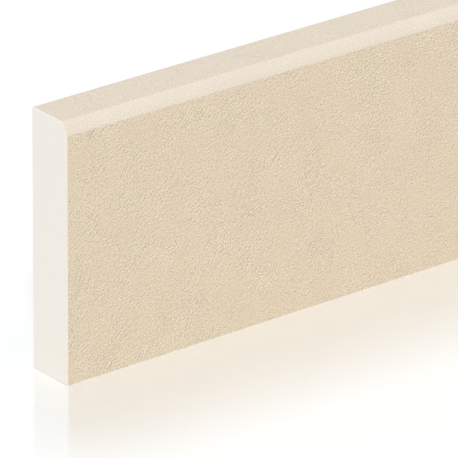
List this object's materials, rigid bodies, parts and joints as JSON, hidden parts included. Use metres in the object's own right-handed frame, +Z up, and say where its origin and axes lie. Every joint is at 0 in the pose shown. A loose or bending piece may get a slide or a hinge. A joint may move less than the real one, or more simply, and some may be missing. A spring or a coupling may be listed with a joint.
{
  "type": "ceramic skirting tile",
  "caption": "Straight ceramic skirting tile for the foot of a wall: a flat slab with a finely textured matt face, an eased top front edge and a plain back.",
  "frame": {"origin": "middle of the bottom edge, half way along the length and half way through the thickness", "axes": "+X along the wall, +Y through the thickness from the glazed face to the bonded back, +Z up"},
  "size_m": [0.3, 0.012, 0.06],
  "materials": {
    "glazed_stoneware": "matt sand-coloured textured glaze on the face, eased edge and top; pale bare fired body on the ends, bottom and back"
  },
  "bodies": {
    "root": {"skirting_tile": "glazed_stoneware"}
  },
  "joints": []
}
